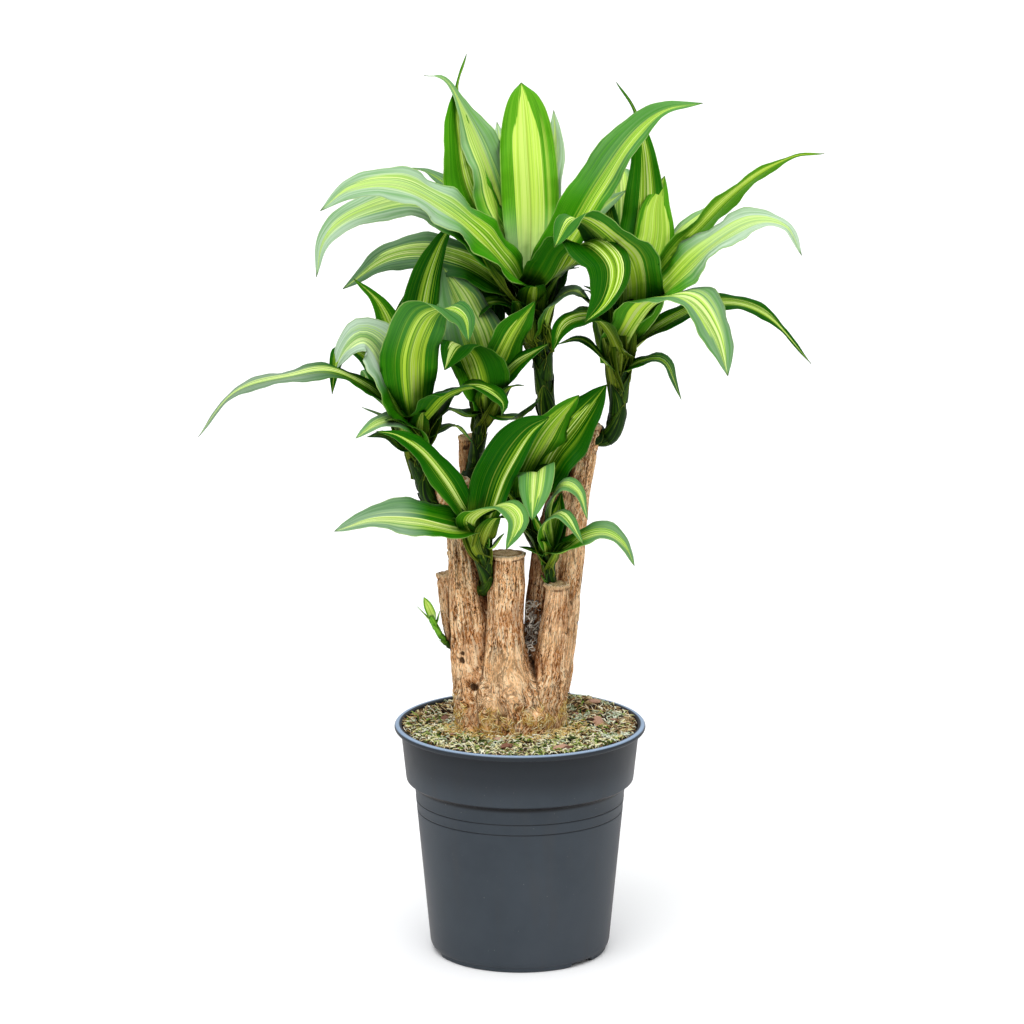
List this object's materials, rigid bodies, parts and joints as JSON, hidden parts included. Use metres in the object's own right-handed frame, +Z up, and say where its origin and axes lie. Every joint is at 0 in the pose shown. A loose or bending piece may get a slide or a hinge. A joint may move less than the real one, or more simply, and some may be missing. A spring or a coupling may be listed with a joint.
{
  "type": "potted corn plant",
  "caption": "Corn plant with a clump of sawn woody canes and rosettes of long striped leaves on green shoots, standing in soil in a tapered plastic nursery pot.",
  "frame": {"origin": "centre of the pot's resting face", "axes": "+Z up along the pot's axis, -Y towards the front of the plant, +X to its right seen from the front"},
  "size_m": [0.5786, 0.285, 0.8634],
  "materials": {
    "pot_plastic": "satin",
    "potting_mix": "matte",
    "bark": "matte",
    "leaf": "satin"
  },
  "bodies": {
    "root": {"pot": "pot_plastic", "soil": "potting_mix", "trunk": "bark", "shoot_top_left": "leaf", "shoot_top_right": "leaf", "shoot_mid_left": "leaf", "shoot_mid_centre": "leaf", "shoot_low_centre": "leaf", "shoot_inner": "leaf", "shoot_low_right": "leaf", "sprout_left": "leaf"}
  },
  "joints": []
}
